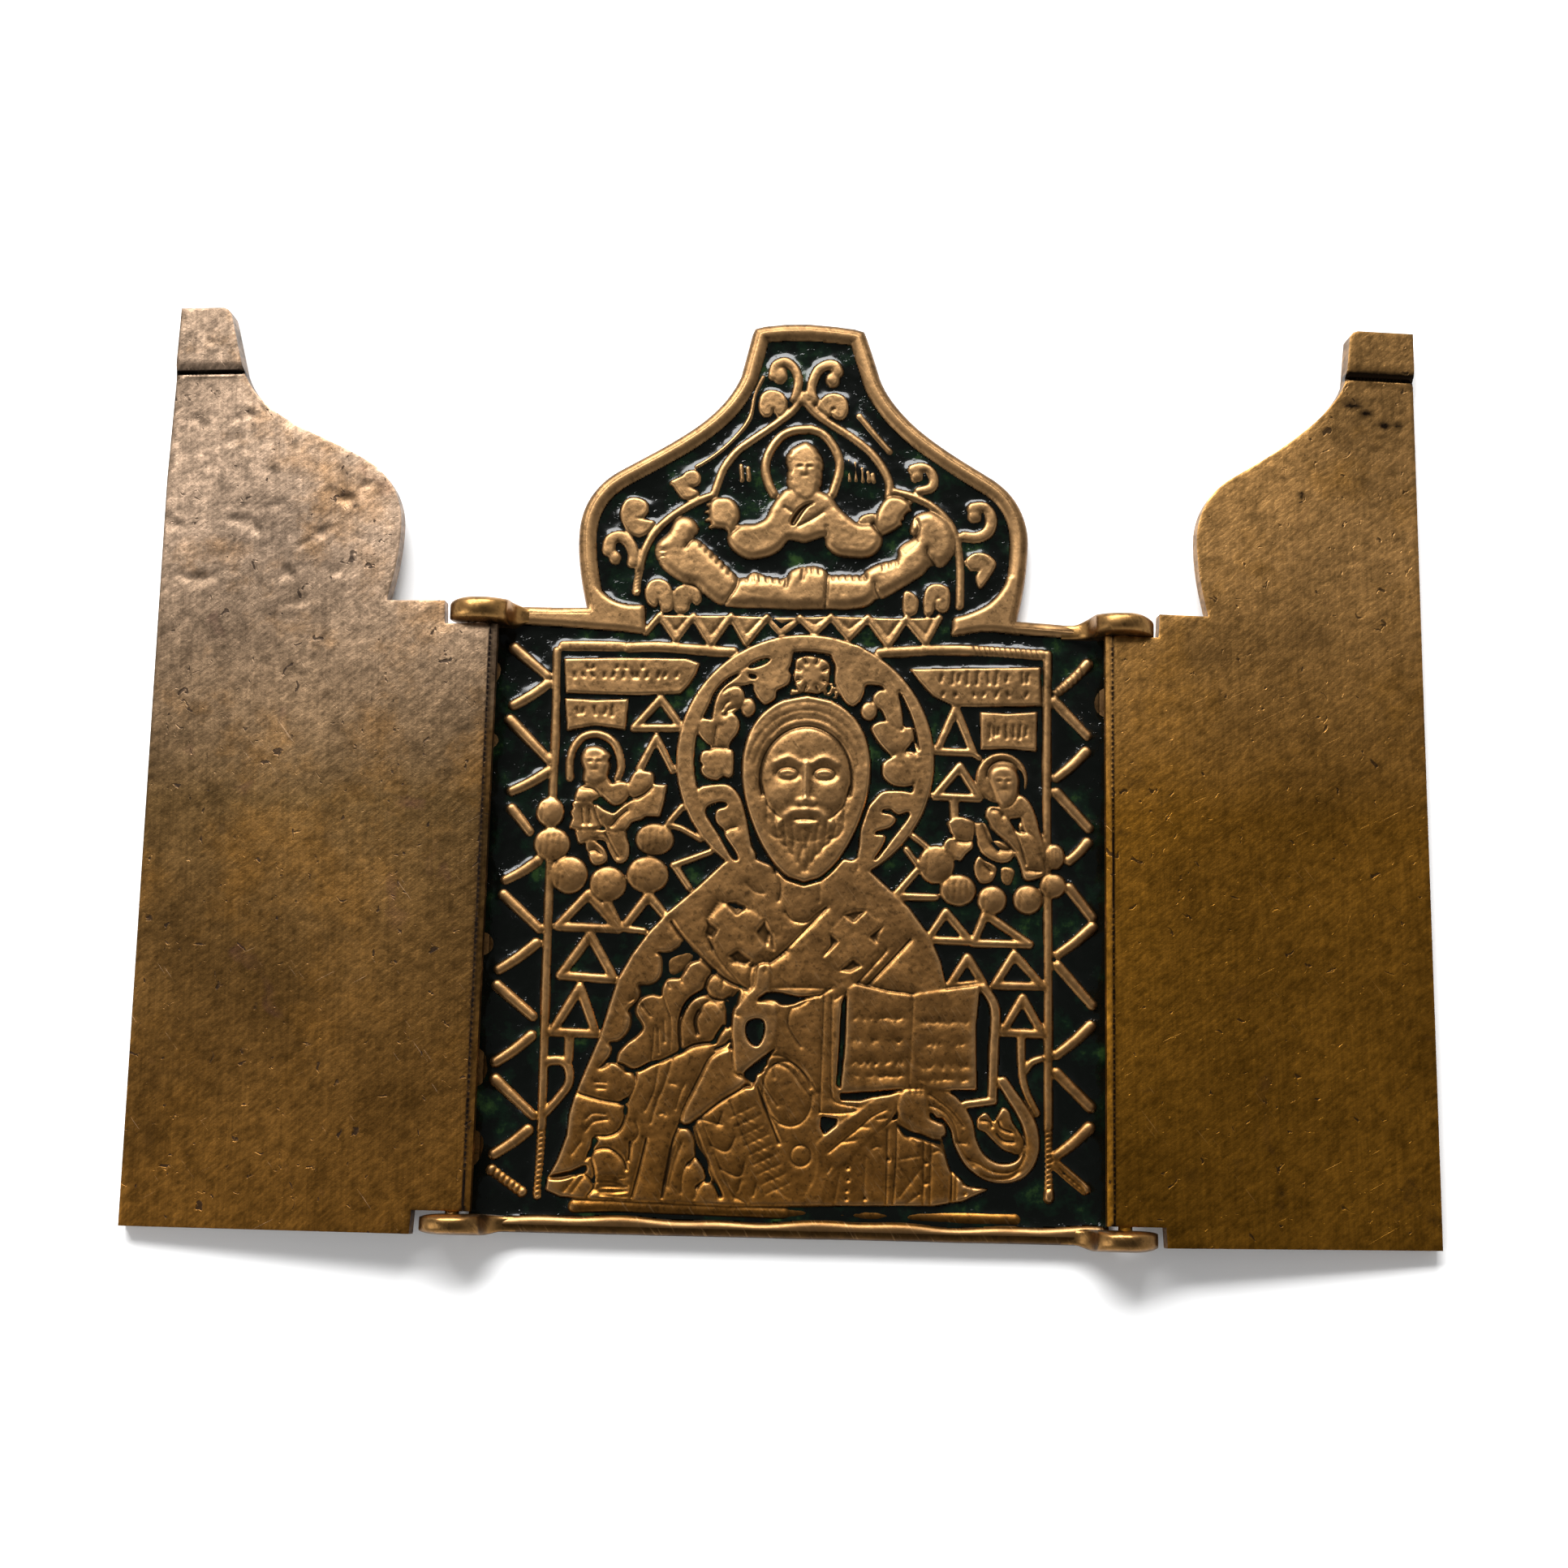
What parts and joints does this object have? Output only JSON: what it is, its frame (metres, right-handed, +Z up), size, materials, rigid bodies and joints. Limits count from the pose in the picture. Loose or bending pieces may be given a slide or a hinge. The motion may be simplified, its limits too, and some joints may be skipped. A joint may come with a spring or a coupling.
{
  "type": "folding cast icon",
  "caption": "Cast bronze folding icon lying open on its back: a relief panel with an arched head, dark enamel ground and a plain wing hinged on each side.",
  "frame": {"origin": "on the flat back of the centre panel, on the centre line of the relief, 75.1 mm above its lower edge", "axes": "+X to the right across the open wings, +Y towards the pommel at the head of the arch, +Z up out of the relief"},
  "size_m": [0.2055, 0.1506, 0.0099],
  "materials": {
    "bronze": "worn cast bronze, brown patina in the hollows",
    "left_wing_bronze": "worn pinkish-tan bronze with dents",
    "right_wing_bronze": "olive-brown bronze with dark specks",
    "enamel": "glossy dark green to black enamel, pitted"
  },
  "bodies": {
    "centre": {"centre_panel": "bronze"},
    "left": {"left_wing": "left_wing_bronze"},
    "right": {"right_wing": "right_wing_bronze"}
  },
  "joints": [
    {"name": "left_hinge", "type": "hinge", "parent": "centre", "child": "left", "pos_m": [-0.0516, 0, 0.006], "axis": [0, 1, 0], "range_deg": [0, 185]},
    {"name": "right_hinge", "type": "hinge", "parent": "centre", "child": "right", "pos_m": [0.0516, 0, 0.006], "axis": [0, -1, 0], "range_deg": [0, 185.5]}
  ]
}
